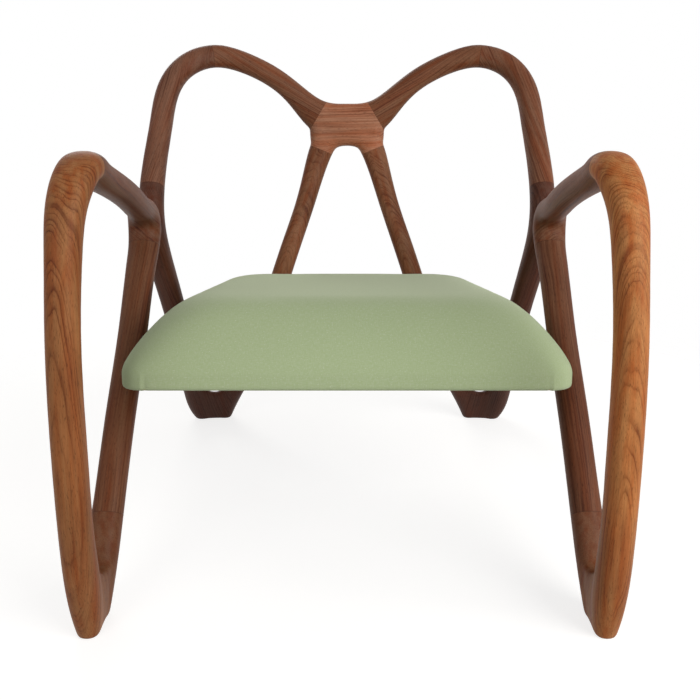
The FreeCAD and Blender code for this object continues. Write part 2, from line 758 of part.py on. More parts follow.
carved = {
    "front_leg": front_leg.cut(arm_joint.holes() + rail_foot_joint.holes()),
    "arm": arm.cut(arm_joint.holes() + rail_top_joint.holes() + hip_joint.holes()),
    "side_rail": side_rail.cut(rail_top_joint.holes() + rail_foot_joint.holes() + [front_mortise]),
    "top_rail": top_rail.cut(wing_joint.holes() + arch_joint.holes()),
    "back_post": back_post.cut(arch_joint.holes() + post_joint.holes()),
    "rear_leg": rear_leg.cut(
        post_joint.holes() + hip_joint.holes() + strut_foot_joint.holes() + [rear_mortise]
    ),
    "back_strut": back_strut.cut(strut_head_joint.holes() + strut_foot_joint.holes()),
}
for name, shape in carved.items():
    pieces[name + "_right"] = shape
    pieces[name + "_left"] = mirrored(shape)

yoke_holes = wing_joint.holes() + strut_head_joint.holes()
pieces["yoke"] = yoke.cut(yoke_holes + [mirrored(hole) for hole in yoke_holes])

joints = {
    "arm_dowels": arm_joint,
    "rail_top_dowels": rail_top_joint,
    "rail_foot_dowels": rail_foot_joint,
    "hip_dowels": hip_joint,
    "post_dowels": post_joint,
    "arch_dowels": arch_joint,
    "wing_dowels": wing_joint,
    "strut_head_dowels": strut_head_joint,
    "strut_foot_dowels": strut_foot_joint,
}
for name, joint in joints.items():
    rods = joint.dowels()
    pieces[name] = Part.Compound(rods + [mirrored(rod) for rod in rods])

# Origin on the floor, at the centre of the footprint box
footprint = FreeCAD.BoundBox()
for name in ("front_leg_left", "front_leg_right", "rear_leg_left", "rear_leg_right"):
    for point in pieces[name].tessellate(facet)[0]:
        footprint.add(point)
to_origin = Vector(-footprint.Center.x, -footprint.Center.y, 0)

os.makedirs("parts", exist_ok=True)
for name, shape in pieces.items():
    shape.translate(to_origin)
    shape.exportStep("parts/" + name + ".step")
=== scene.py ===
"""Looks of a lounge chair: a carved hardwood frame and a domed seat in a plain sage weave.

Everything is in metres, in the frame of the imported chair: +Z up, the sitter faces -Y.
"""

import math

import bmesh
import bpy
import numpy as np
from mathutils import Matrix, Vector
from mathutils.bvhtree import BVHTree


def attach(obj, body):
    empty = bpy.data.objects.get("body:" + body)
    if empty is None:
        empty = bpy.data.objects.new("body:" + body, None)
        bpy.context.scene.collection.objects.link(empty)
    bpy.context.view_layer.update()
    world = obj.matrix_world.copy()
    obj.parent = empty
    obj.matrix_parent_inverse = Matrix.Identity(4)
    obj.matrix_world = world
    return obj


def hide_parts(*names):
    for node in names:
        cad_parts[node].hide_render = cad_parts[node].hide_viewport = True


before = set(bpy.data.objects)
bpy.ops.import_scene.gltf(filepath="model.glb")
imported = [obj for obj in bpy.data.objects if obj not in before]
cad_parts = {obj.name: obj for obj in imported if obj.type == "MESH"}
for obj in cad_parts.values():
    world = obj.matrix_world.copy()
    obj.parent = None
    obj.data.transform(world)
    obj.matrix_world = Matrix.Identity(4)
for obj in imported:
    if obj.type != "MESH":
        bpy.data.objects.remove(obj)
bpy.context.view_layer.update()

bl_info = {
    "name": "Carved Lounge Chair",
    "version": (1, 0, 0),
    "blender": (4, 5, 0),
    "location": "View3D > Sidebar > Chair",
    "description": "Dresses the packed lounge chair in oiled wood and sage fabric",
    "category": "Object",
}

MM = 0.001
TINY = 0.001 * MM
BODY = "root"
SIDES = {"left": -1, "right": 1}
ACROSS = Vector((1, 0, 0))

# Glue joints of the carved frame: how far from its dowels each joint's cut may reach
JOINT_REACH = {
    "arm": 36 * MM,
    "rail_top": 34 * MM,
    "rail_foot": 36 * MM,
    "hip": 62 * MM,
    "post": 36 * MM,
    "arch": 36 * MM,
    "wing": 40 * MM,
    "strut_head": 36 * MM,
    "strut_foot": 36 * MM,
}

# The front legs' planks were picked to match the side rails': towards their joint a leg takes on the
# rail's darker tone, which also serves as painted shade in the crotch behind the leg, and its growth
# rings fade by the calm share
MATCH_AND_SHADE_NEAR, MATCH_AND_SHADE_FAR = 45 * MM, 190 * MM
MATCH_CALM = 0.9

# Each plank's tone, from 0 for the darkest heartwood to 1 for the palest, and how rosy it grew; the arms'
# and rear legs' tones are set lower as painted shade
PLANKS = {
    "front_leg_left": (0.56, 0),
    "front_leg_right": (0.88, 0),
    # The arms are darker as painted shade on their unlit tops
    "arm_left": (0.16, 0.2),
    "arm_right": (0.20, 0.2),
    "side_rail_left": (0.16, 0),
    "side_rail_right": (0.12, 0),
    # The rear legs are darkest as painted shade under the seat
    "rear_leg_left": (0.00, 0),
    "rear_leg_right": (0.00, 0),
    "back_post_left": (0.26, 0.55),
    "back_post_right": (0.30, 0.45),
    "top_rail_left": (0.33, 0.45),
    "top_rail_right": (0.26, 0.25),
    "yoke": (0.78, 0.9),
    "back_strut_left": (0.36, 0.3),
    "back_strut_right": (0.36, 0.3),
    "front_bearer": (0.12, 0),
    "rear_bearer": (0.12, 0),
}
CARVED = [name for name in PLANKS if "bearer" not in name]
CARVED_SEED, BEARER_SEED = 11, 40
BEARERS = ("front_bearer", "rear_bearer")
SEAT_RAILS = ["seat_rail_" + place for place in ("front", "rear", "left", "right")]
DOWELS = [joint + "_dowels" for joint in JOINT_REACH] + ["seat_frame_dowels"]
WEBBING = ("webbing_lengthwise", "webbing_crosswise")
STRAP_EDGE = 0.5 * MM
# The distance kept for wood that is far from any glue line, in metres
NO_GLUE = 1.0

# Sizes of the staples, each with a setting of that name
STAPLE_SIZES = ("Corner", "Spacing", "Crown", "Leg", "Wire")

# Heights above the seat pad's underside: where the cover is fixed, lies tight and free, and is domed
FIXED_BELOW = 6 * MM
EDGE_TIGHT, EDGE_FREE = 16 * MM, 32 * MM
CROWN_START, CROWN_FULL = 30 * MM, 70 * MM
CROWN_PASSES = 60

# How the seat's cover behaves while its filling swells
FILLED_COVER = {
    "quality": 6,
    "mass": 0.25,
    "tension_stiffness": 25,
    "compression_stiffness": 25,
    "bending_stiffness": 4,
    "use_pressure": True,
    "uniform_pressure_force": 4,
    "vertex_group_mass": "fixed",
}
FILLING_FRAMES = 20

# Studio lamps: place, width of the disc and power in watts
LAMPS = {
    "key": ((1.6, -1.5, 1.1), 1.7, 37),
    "fill": ((-1.1, -2.1, 1.2), 1.2, 10),
    "back": ((-0.9, 2.1, 1.7), 1.6, 16),
}
LAMP_AIM = Vector((0, 0, 0.4))
SKY_LIGHT = 0.25
FLOOR_GLOW = 0.76
FLOOR_HALF = 1.6
FLOOR_FADE_START, FLOOR_FADE_END = 0.75, 1.5
# The chair's middle lies this many pixels to the left in the photograph's width
PHOTO_SHIFT, PHOTO_WIDTH = 3, 700

# The commonest kinds of nodes, and the settings of a colour mix and of one that multiplies
MATH, MIX, RAMP = "ShaderNodeMath", "ShaderNodeMix", "ShaderNodeValToRGB"
MIXED = {"data_type": "RGBA"}
TINTED = {"data_type": "RGBA", "blend_type": "MULTIPLY"}


def linear(hex_colour):
    """An sRGB hex colour as linear red, green, blue and alpha."""
    parts = [int(hex_colour[k : k + 2], 16) / 255 for k in (1, 3, 5)]
    return tuple(c / 12.92 if c <= 0.04045 else ((c + 0.055) / 1.055) ** 2.4 for c in parts) + (1.0,)


def colour_setting(name, description, tint):
    return bpy.props.FloatVectorProperty(
        name=name, description=description, subtype="COLOR", size=4, min=0, max=1, default=linear(tint)
    )


def length_setting(name, description, millimetres):
    return bpy.props.FloatProperty(
        name=name, description=description, unit="LENGTH", precision=5, min=0, default=millimetres * MM
    )


class CarvedFrameSettings(bpy.types.PropertyGroup):
    """Carving and wood of the frame."""

    voxel: length_setting("Voxel", "Grid that the limbs are fused on", 2.0)
    blend_passes: bpy.props.IntProperty(
        name="Blend passes", description="How far the crotches are worked smooth", min=0, default=44
    )
    swell: length_setting("Swell", "Gives back what smoothing takes off the limbs", 1.15)
    ring: length_setting("Growth ring", "Mean width of a growth ring", 3.2)
    pale: colour_setting("Pale wood", "Early wood of the palest plank", "#C2824B")
    dark: colour_setting("Dark wood", "Early wood of the darkest plank", "#5E3D30")
    rosy_pale: colour_setting("Pale rosy wood", "Palest plank that grew rosy", "#C48C6E")
    rosy_dark: colour_setting("Dark rosy wood", "Darkest plank that grew rosy", "#604540")
    late: colour_setting("Late wood", "What the dark edge of a growth ring leaves of a colour", "#8A5A40")
    cheek: bpy.props.FloatVectorProperty(
        name="Cheek",
        description="Half sizes of the wood left in the crotch between wing and strut",
        subtype="XYZ_LENGTH",
        unit="LENGTH",
        size=3,
        default=(17.5 * MM, 17 * MM, 38 * MM),
    )
    bearer_edge: length_setting("Bearer edge", "Rounding of the seat bearers' edges", 2.5)


class SeatSettings(bpy.types.PropertyGroup):
    """Padding and fabric of the seat."""

    voxel: length_setting("Voxel", "Grid that the pad is meshed on", 6.0)
    puff: length_setting("Puff", "Most that the filling may push the fabric out", 3.0)
    fullness: bpy.props.FloatProperty(
        name="Fullness",
        description="Share by which the padded sides stand wider than the seat's solid",
        subtype="FACTOR",
        min=0,
        max=0.03,
        default=0.012,
    )
    rim: length_setting("Rim", "Rounding of the seat's lower edge", 4.5)
    thread: length_setting("Thread", "Spacing of the threads, drawn coarse enough to show", 1.2)
    fabric: colour_setting("Fabric", "Sage yarn", "#AEBE90")
    fleck: colour_setting("Fleck", "Paler yarn among it", "#B9C6A0")


class UndersideSettings(bpy.types.PropertyGroup):
    """Dust cloth under the seat and the staples that hold it."""

    gap: length_setting("Gap", "From the seat's underside down to the cloth", 0.3)
    thickness: length_setting("Thickness", "Thickness of the cloth", 0.5)
    cloth_corner: length_setting("Cloth corner", "Rounding of the cloth's corners", 26)
    sag: length_setting("Sag", "How far the cloth hangs in the middle", 3)
    spacing: length_setting("Staple spacing", "From one staple to the next", 34)
    inset: length_setting("Staple inset", "From the cloth's edge to the staples", 9)
    corner: length_setting("Corner", "Rounding of the row of staples at the corners", 20)
    crown: length_setting("Crown", "Width of a staple", 10)
    leg: length_setting("Leg", "Depth that a staple is driven to", 8)
    wire: length_setting("Wire", "Thickness of a staple's wire", 1)


class StageSettings(bpy.types.PropertyGroup):
    """Camera and floor."""

    lens: bpy.props.FloatProperty(
        name="Lens", description="Focal length", unit="CAMERA", min=1, default=41.14
    )
    tilt: bpy.props.FloatProperty(
        name="Tilt",
        description="Camera's angle below the horizon",
        subtype="ANGLE",
        default=math.radians(18),
    )
    distance: length_setting("Distance", "Camera in front of the chair's origin", 1209.5)
    height: length_setting("Height", "Camera above the floor", 662)
    floor: colour_setting("Floor", "Studio floor", "#B4B2AF")


def node(tree, kind, inputs=(), stops=(), **settings):
    """Adds a node with its settings and any ramp stops, and gives its inputs, by name or in order,
    a value or a link. A node given as a value stands for its first output in use."""
    made = tree.nodes.new(kind)
    for name, value in settings.items():
        setattr(made, name, value)
    if isinstance(inputs, dict):
        pairs = [(made.inputs[name], value) for name, value in inputs.items()]
    else:
        pairs = zip([socket for socket in made.inputs if socket.enabled], inputs)
    for socket, value in pairs:
        if isinstance(value, bpy.types.Node):
            value = next(output for output in value.outputs if output.enabled)
        if isinstance(value, bpy.types.NodeSocket):
            tree.links.new(value, socket)
        else:
            socket.default_value = value
    band = made.color_ramp.elements if stops else ()
    while len(band) < len(stops):
        band.new(1.0)
    for element, (place, grey) in zip(band, stops):
        element.position = place
        element.color = (grey, grey, grey, 1.0)
    return made


def new_material(name):
    """An empty node material and its tree."""
    material = bpy.data.materials.new(name)
    material.use_nodes = True
    material.node_tree.nodes.clear()
    return material, material.node_tree


def surfaced(tree, surface):
    """Ends a material in one principled surface."""
    shader = node(tree, "ShaderNodeBsdfPrincipled", surface)
    node(tree, "ShaderNodeOutputMaterial", {"Surface": shader})


def mottling(tree, place, sizes, detail=2.0, stops=()):
    """Soft random patches of these sizes, in millimetres, along the three axes of a place, put
    through a ramp if it has stops."""
    scale = tuple(1 / (size * MM) for size in sizes)
    scaled = node(tree, "ShaderNodeMapping", {"Vector": place, "Scale": scale})
    noise = node(tree, "ShaderNodeTexNoise", {"Vector": scaled, "Scale": 1.0, "Detail": detail})
    return node(tree, RAMP, (noise,), stops) if stops else noise


def shaded(tree, colour, patterns):
    """A colour dimmed by patterns, each with its depth and the level that it starts from."""
    shade = 1.0
    for pattern, depth, level in patterns:
        share = node(tree, MATH, (pattern, depth, level), operation="MULTIPLY_ADD")
        shade = node(tree, MATH, (shade, share), operation="MULTIPLY")
    return node(tree, MIX, (1.0, colour, shade), **TINTED)


def oiled_hardwood(settings):
    """Freijo-like hardwood, sanded and oiled: growth rings run along each plank, so the carved
    curves cut them into long loops; fine dark pores, and a soft satin sheen."""
    material, tree = new_material("oiled_hardwood")
    plank = node(tree, "ShaderNodeAttribute", attribute_name="plank").outputs["Vector"]
    tone, rose, figure, glue = (
        node(tree, "ShaderNodeAttribute", attribute_name=name).outputs["Fac"]
        for name in ("tone", "rose", "figure", "glue")
    )

    # Growth rings: the way from the pith, swayed and rippled, counted in rings of uneven width
    split = node(tree, "ShaderNodeSeparateXYZ", (plank,)).outputs
    flat = node(tree, "ShaderNodeCombineXYZ", {"X": split["X"], "Y": split["Y"]})
    grown = node(tree, "ShaderNodeVectorMath", (flat,), operation="LENGTH")
    sway = mottling(tree, plank, (60, 60, 380))
    ripple = mottling(tree, plank, (11, 11, 70))
    for pattern, depth in ((sway, 26 * MM), (ripple, 2.4 * MM)):
        grown = node(tree, MATH, (pattern, depth, grown), operation="MULTIPLY_ADD")
    count = node(tree, MATH, (grown, settings.ring), operation="DIVIDE")
    uneven = node(tree, "ShaderNodeTexNoise", {"W": count, "Scale": 0.4}, noise_dimensions="1D")
    count = node(tree, MATH, (uneven, 2.4, count), operation="MULTIPLY_ADD")
    ring = node(tree, MATH, (count,), operation="FRACT")
    late_wood = node(
        tree, RAMP, (ring,), ((0.0, 0.28), (0.28, 0.08), (0.72, 0.34), (0.91, 0.88), (1.0, 0.28))
    )
    patch = mottling(tree, plank, (20, 20, 150), 2.0, ((0.32, 0.18), (0.68, 1.0)))
    for share in (patch, figure):
        late_wood = node(tree, MATH, (late_wood, share), operation="MULTIPLY")

    streak = mottling(tree, plank, (9, 9, 240), 3.0, ((0.38, 0.0), (0.66, 1.0)))
    fibre = mottling(tree, plank, (1.1, 1.1, 34), 3.0)
    pores = mottling(tree, plank, (0.8, 0.8, 7), 1.0, ((0.60, 0.0), (0.70, 1.0)))
    cloud = mottling(tree, plank, (55, 55, 150), 3.0)
    line = node(tree, "ShaderNodeMapRange", {"Value": glue, "From Min": 0.15 * MM, "From Max": 0.7 * MM})

    brown = node(tree, MIX, (tone, settings.dark, settings.pale), **MIXED)
    rosy = node(tree, MIX, (tone, settings.rosy_dark, settings.rosy_pale), **MIXED)
    colour = node(tree, MIX, (rose, brown, rosy), **MIXED)
    colour = node(tree, MIX, (streak, colour, linear("#EECBB4")), **TINTED)
    colour = node(tree, MIX, (late_wood, colour, settings.late), **TINTED)
    dims = ((cloud, 0.80, 0.62), (fibre, 0.62, 0.70), (pores, -0.42, 1.0), (line, 0.4, 0.6))
    relief = node(tree, MATH, (pores, -0.6, fibre), operation="MULTIPLY_ADD")
    rough = node(tree, MATH, (fibre, 0.16, 0.44), operation="MULTIPLY_ADD")
    bump = node(tree, "ShaderNodeBump", {"Height": relief, "Strength": 0.25, "Distance": 0.12 * MM})
    surface = {"Base Color": shaded(tree, colour, dims), "Roughness": rough, "Normal": bump}
    surfaced(tree, surface | {"IOR": 1.5, "Specular IOR Level": 0.13})
    return material


def two_toned(tree, pattern, tones, relief, strength, depth, roughness):
    """Ends a material whose colour goes between two tones by a pattern, over a relief of a depth
    in millimetres."""
    colour = node(tree, MIX, (pattern, *map(linear, tones)), **MIXED)
    bump = node(tree, "ShaderNodeBump", {"Height": relief, "Strength": strength, "Distance": depth * MM})
    surfaced(tree, {"Base Color": colour, "Roughness": roughness, "Normal": bump})


def planed_wood(name, tones, along):
    """Plain planed batten or dowel: straight, close grain along one axis of the chair."""
    material, tree = new_material(name)
    place = node(tree, "ShaderNodeTexCoord").outputs["Object"]
    grain = mottling(tree, place, [80 if axis == along else 2 for axis in "XYZ"], 4.0)
    two_toned(tree, grain, tones, grain, 0.2, 0.1, 0.62)
    return material


def thread_waves(tree, place, spacing):
    """Two crossed sets of threads, over and under, as one height from 0 to 1."""
    split = node(tree, "ShaderNodeSeparateXYZ", (place,)).outputs
    crossing = 1.0
    for axis in ("X", "Y"):
        turn = node(tree, MATH, (split[axis], math.pi / spacing), operation="MULTIPLY")
        wave = node(tree, MATH, (turn,), operation="SINE")
        crossing = node(tree, MATH, (crossing, wave), operation="MULTIPLY")
    return node(tree, MATH, (crossing,), operation="ABSOLUTE")


def sage_plain_weave(settings):
    """Cotton blend in a plain weave: matte, a fine grid of threads, flecked by uneven yarn."""
    material, tree = new_material("sage_plain_weave")
    cloth = node(tree, "ShaderNodeAttribute", attribute_name="cloth").outputs["Vector"]
    weave = thread_waves(tree, cloth, settings.thread)
    warp = mottling(tree, cloth, (7, 1.3, 7))
    weft = mottling(tree, cloth, (1.3, 7, 7))
    yarn = node(tree, MATH, (warp, weft), operation="ADD")
    yarn = node(tree, MATH, (yarn, 0.5), operation="MULTIPLY")
    flecks = node(tree, RAMP, (yarn,), ((0.42, 0.0), (0.66, 0.9)))
    neps = mottling(tree, cloth, (2.2, 2.2, 2.2), 1.0, ((0.63, 0.0), (0.75, 0.6)))
    wear = mottling(tree, cloth, (130, 130, 130))
    colour = node(tree, MIX, (flecks, settings.fabric, settings.fleck), **MIXED)
    colour = node(tree, MIX, (neps, colour, linear("#D0D7BC")), **MIXED)
    relief = node(tree, MATH, (yarn, 0.4, weave), operation="MULTIPLY_ADD")
    bump = node(tree, "ShaderNodeBump", {"Height": relief, "Strength": 0.3, "Distance": 0.3 * MM})
    colour = shaded(tree, colour, ((wear, 0.06, 0.97), (weave, 0.12, 0.92)))
    surface = {"Base Color": colour, "Roughness": 0.95, "Specular IOR Level": 0.08, "Normal": bump}
    sheen = {"Sheen Weight": 0.6, "Sheen Roughness": 0.5, "Sheen Tint": linear("#E4E9D2")}
    surfaced(tree, surface | sheen)
    return material


def jute_webbing():
    """Jute webbing: coarse brown threads."""
    material, tree = new_material("jute_webbing")
    place = node(tree, "ShaderNodeTexCoord").outputs["Object"]
    weave = thread_waves(tree, place, 2 * MM)
    two_toned(tree, weave, ("#6E563A", "#A98A62"), weave, 0.5, 0.4, 0.95)
    return material


def spunbond_dust_cloth():
    """Black spunbonded polypropylene: dull, with a fine grid of bonding dots."""
    material, tree = new_material("spunbond_dust_cloth")
    place = node(tree, "ShaderNodeTexCoord").outputs["Object"]
    dots = thread_waves(tree, place, 1.6 * MM)
    dots = node(tree, RAMP, (dots,), ((0.55, 0.0), (0.8, 1.0)))
    fibre = mottling(tree, place, (4, 4, 4), 5.0)
    two_toned(tree, fibre, ("#161616", "#2C2B2A"), dots, 0.4, 0.2, 0.85)
    return material


def zinc_plated_steel():
    """Zinc-plated steel: pale, slightly blue, brushed by the plating drum."""
    material, tree = new_material("zinc_plated_steel")
    place = node(tree, "ShaderNodeTexCoord").outputs["Object"]
    scuff = mottling(tree, place, (0.8, 0.8, 0.8), 3.0)
    colour = node(tree, MIX, (scuff, linear("#A9ACAE"), linear("#C9CBCB")), **MIXED)
    rough = node(tree, MATH, (scuff, 0.2, 0.25), operation="MULTIPLY_ADD")
    surfaced(tree, {"Base Color": colour, "Metallic": 1.0, "Roughness": rough})
    return material


def vectors(items, field):
    """A field of a mesh's vertices or normals as an array."""
    flat = np.empty(len(items) * 3, np.float32)
    items.foreach_get(field, flat)
    return flat.reshape(-1, 3).astype(float)


def coordinates(mesh):
    return vectors(mesh.vertices, "co")


def vertex_normals(mesh):
    return vectors(mesh.vertex_normals, "vector")


def place_vertices(mesh, points):
    mesh.vertices.foreach_set("co", np.asarray(points, np.float32).ravel())
    mesh.update()


def store(mesh, name, values):
    """Keeps a number or a vector for each vertex of a mesh."""
    kind, field = ("FLOAT", "value") if values.ndim == 1 else ("FLOAT_VECTOR", "vector")
    layer = mesh.attributes.new(name, kind, "POINT")
    layer.data.foreach_set(field, np.asarray(values, np.float32).ravel())


def node_points(name):
    """A CAD node's vertices as an array."""
    return coordinates(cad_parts[name].data)


def on_side(points, sign):
    """The points on one side of the chair."""
    return points[sign * points[:, 0] > 0]


def share_between(values, none, full):
    """Shares that go evenly from 0 at one value to 1 at another."""
    return np.clip((values - none) / (full - none), 0, 1)


def main_axes(points):
    """The directions in which points spread, widest first."""
    spread = np.cov((points - points.mean(0)).T)
    values, directions = np.linalg.eigh(spread)
    return directions[:, np.argsort(values)[::-1]].T


def merged(names):
    """Copies of some CAD nodes in one bmesh, each closed."""
    bm = bmesh.new()
    for name in names:
        bm.from_mesh(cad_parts[name].data)
    bmesh.ops.remove_doubles(bm, verts=bm.verts, dist=TINY)
    return bm


def surface_of(name):
    """A CAD node's surface, to look up near points on."""
    bm = merged([name])
    surface = BVHTree.FromBMesh(bm)
    bm.free()
    return surface


def new_object(name, data):
    """Puts a mesh, a lamp or a camera in the scene, or a bmesh, which it lets go of."""
    if isinstance(data, bmesh.types.BMesh):
        bm, data = data, bpy.data.meshes.new(name)
        bm.to_mesh(data)
        bm.free()
    made = bpy.data.objects.new(name, data)
    bpy.context.scene.collection.objects.link(made)
    return made


def drawn(name, points, edges=(), faces=()):
    """An object from plain lists of points, edges and faces."""
    mesh = bpy.data.meshes.new(name)
    mesh.from_pydata([tuple(p) for p in points], edges, faces)
    return new_object(name, mesh)


def modify(piece, kind, **settings):
    """Adds a modifier with its settings."""
    made = piece.modifiers.new(kind.lower(), kind)
    for name, value in settings.items():
        setattr(made, name, value)
    return made


def settle(piece):
    """Turns an object's modifiers into a plain mesh."""
    graph = bpy.context.evaluated_depsgraph_get()
    mesh = bpy.data.meshes.new_from_object(piece.evaluated_get(graph))
    old = piece.data
    piece.modifiers.clear()
    piece.data = mesh
    bpy.data.meshes.remove(old)
    mesh.name = piece.name


def paint(mesh, material):
    mesh.materials.clear()
    mesh.materials.append(material)


def finished(piece, material, nodes=()):
    """Gives a piece its finish and its place on the chair."""
    paint(piece.data, material)
    if nodes:
        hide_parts(*nodes)
    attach(piece, BODY)


def ease_edges(bm, width, flatness, segments):
    """Joins flat faces of a solid and rounds its sharp edges."""
    sharpness = 0.6
    bmesh.ops.dissolve_limit(bm, angle_limit=flatness, verts=bm.verts, edges=bm.edges)
    sharp = [e for e in bm.edges if len(e.link_faces) == 2 and e.calc_face_angle() > sharpness]
    bmesh.ops.bevel(
        bm, geom=sharp, offset=width, segments=segments, profile=0.5, affect="EDGES", clamp_overlap=True
    )


def eased(name, suffix, width, segments):
    """A copy of a CAD node with its edges rounded."""
    bm = merged([name])
    ease_edges(bm, width, math.radians(1), segments)
    return new_object(name + suffix, bm)


def fill_mortises(bm):
    """Fills the bearers' mortises with blocks, so that the fused limbs stay whole."""
    for name in BEARERS:
        points = node_points(name)
        shoulder, tip = np.unique(np.round(np.abs(points[:, 0]), 4))[-2:]
        for sign in SIDES.values():
            tips = points[sign * points[:, 0] > tip - 0.1 * MM]
            inward = np.array((sign * (tip - shoulder), 0, 0))
            corners = np.unique(np.round(np.vstack((tips, tips - inward)), 6), axis=0)
            bmesh.ops.convex_hull(bm, input=[bm.verts.new(p) for p in corners])


def glue_planes():
    """Centre, normal and reach of every glue joint, read from its pair of dowels."""
    planes = []
    for joint, reach in JOINT_REACH.items():
        points = node_points(joint + "_dowels")
        for sign in SIDES.values():
            pair = on_side(points, sign)
            axis = main_axes(pair)[0]
            centre = pair.mean(0)
            along = (pair - centre) @ axis
            centre = centre + axis * (along.min() + along.max()) / 2
            planes.append((Vector(centre), Vector(axis), reach))
    return planes


def cut_at_joints(mesh):
    """Cuts the fused limbs through at each glue joint."""
    bm = bmesh.new()
    bm.from_mesh(mesh)
    seams = []
    for centre, normal, reach in glue_planes():
        faces = [f for f in bm.faces if (f.calc_center_median() - centre).length < reach]
        parts = set(faces)
        for face in faces:
            parts.update(face.edges)
            parts.update(face.verts)
        cut = bmesh.ops.bisect_plane(bm, geom=list(parts), dist=TINY, plane_co=centre, plane_no=normal)
        seams += [e for e in cut["geom_cut"] if isinstance(e, bmesh.types.BMEdge)]
    bmesh.ops.split_edges(bm, edges=seams)
    bm.to_mesh(mesh)
    bm.free()


def capped(mesh):
    """Closes a limb's cut ends with flat glue faces, and keeps how far each vertex is from one."""
    bm = bmesh.new()
    bm.from_mesh(mesh)
    rims = [e for e in bm.edges if e.is_boundary]
    for face in bm.faces:
        face.smooth = True
    caps = bmesh.ops.holes_fill(bm, edges=rims, sides=0)["faces"]
    for edge in rims:
        edge.smooth = False
    bm.normal_update()
    places = []
    for cap in caps:
        cap.smooth = False
        centre = cap.calc_center_median()
        places.append((centre, cap.normal.copy(), max((v.co - centre).length for v in cap.verts)))
    bmesh.ops.triangulate(bm, faces=caps)
    bm.to_mesh(mesh)
    bm.free()
    points = coordinates(mesh)
    margin = 1.2
    nearest = np.full(len(points), NO_GLUE)
    for centre, normal, radius in places:
        offset = points - np.array(centre)
        near = np.linalg.norm(offset, axis=1) < radius * margin
        nearest[near] = np.minimum(nearest[near], np.abs(offset[near] @ np.array(normal)))
    store(mesh, "glue", nearest)


def tone_matched_and_shaded(name, points):
    """A limb's tone at some points, darkened towards its joint with a matched plank, partly as painted
    shade in the crotch, and how near they are to that joint.
    """
    tone, near = np.full(len(points), PLANKS[name][0]), np.zeros(len(points))
    limb, _, side = name.rpartition("_")
    if limb == "front_leg":
        centre = on_side(node_points("rail_foot_dowels"), SIDES[side]).mean(0)
        gap = np.linalg.norm(points - centre, axis=1)
        near = share_between(gap, MATCH_AND_SHADE_FAR, MATCH_AND_SHADE_NEAR)
        near = near * near * (3 - 2 * near)
        # Painted shade as well as a plank match: towards the crotch the leg darkens to the rail's tone
        tone += near * (PLANKS["side_rail_" + side][0] - tone)
    return tone, near


def lay_in_plank(mesh, name, seed):
    """Gives a limb its place in the plank that it is sawn from: x and y from the tree's pith,
    z along the trunk."""
    draw = np.random.RandomState(seed)
    pith = draw.uniform(60 * MM, 120 * MM)
    lean = math.radians(draw.uniform(-2.5, 2.5))
    aside = draw.uniform(-30 * MM, 30 * MM)
    start = draw.uniform(1.0, 9.0)
    points = coordinates(mesh)
    along, wide, thin = main_axes(points)
    offset = points - points.mean(0)
    x = offset @ wide + math.sin(lean) * (offset @ along) + pith
    y = offset @ thin + aside
    z = offset @ along + start
    store(mesh, "plank", np.column_stack((x, y, z)))
    tone, near = tone_matched_and_shaded(name, points)
    store(mesh, "tone", tone)
    store(mesh, "figure", 1 - MATCH_CALM * near * near)
    store(mesh, "rose", np.full(len(points), PLANKS[name][1]))


class CHAIR_OT_carved_frame(bpy.types.Operator):
    """Fuse the limbs, work their crotches smooth and part them again at the glue lines"""

    bl_idname = "chair.carved_frame"
    bl_label = "Carved Frame"

    def execute(self, context):
        settings = context.scene.chair_frame
        limbs = self.fused(settings)
        cut_at_joints(limbs.data)
        wood = oiled_hardwood(settings)
        surfaces = {name: surface_of(name) for name in CARVED}
        missing = set(CARVED)
        for part in self.parted(context, limbs):
            name = self.nearest_node(part.data, surfaces)
            if name not in missing:
                # A crumb of a limb that is already found
                bpy.data.objects.remove(part)
                continue
            missing.remove(name)
            part.name = name + "_carved"
            capped(part.data)
            lay_in_plank(part.data, name, CARVED_SEED + CARVED.index(name))
            finished(part, wood, [name])
        if missing:
            raise RuntimeError("limbs not found: " + ", ".join(sorted(missing)))
        return {"FINISHED"}

    def fused(self, settings):
        """All limbs in one mesh, their crotches worked smooth and their soles flat on the floor."""
        bm = merged(CARVED)
        fill_mortises(bm)
        self.leave_cheeks(bm, settings)
        limbs = new_object("limbs", bm)
        modify(limbs, "REMESH", mode="VOXEL", voxel_size=settings.voxel)
        modify(limbs, "SMOOTH", iterations=settings.blend_passes)
        modify(limbs, "DISPLACE", mid_level=0, strength=settings.swell)
        settle(limbs)
        points = coordinates(limbs.data)
        points[:, 2] = np.maximum(points[:, 2], 0)
        place_vertices(limbs.data, points)
        return limbs

    def leave_cheeks(self, bm, settings):
        """Leaves wood at the yoke's waist, which smoothing works into one hollow."""
        ends = [node_points(joint + "_dowels") for joint in ("wing", "strut_head")]
        for sign in SIDES.values():
            centre = Vector(sum(on_side(points, sign).mean(0) for points in ends) / 2)
            shape = Matrix.Translation(centre) @ Matrix.Diagonal((*settings.cheek, 1))
            bmesh.ops.create_icosphere(bm, subdivisions=3, radius=1, matrix=shape)

    def parted(self, context, limbs):
        """The loose parts of the sawn mesh, largest first."""
        bpy.ops.object.select_all(action="DESELECT")
        limbs.select_set(True)
        context.view_layer.objects.active = limbs
        bpy.ops.mesh.separate(type="LOOSE")
        return sorted(context.selected_objects, key=lambda part: -len(part.data.vertices))

    def nearest_node(self, mesh, surfaces):
        """The CAD node whose surface lies closest to a sample of a mesh's vertices."""
        points = coordinates(mesh)
        sample = points[:: max(1, len(points) // 60)]
        return min(surfaces, key=lambda name: sum(surfaces[name].find_nearest(p)[3] for p in sample))


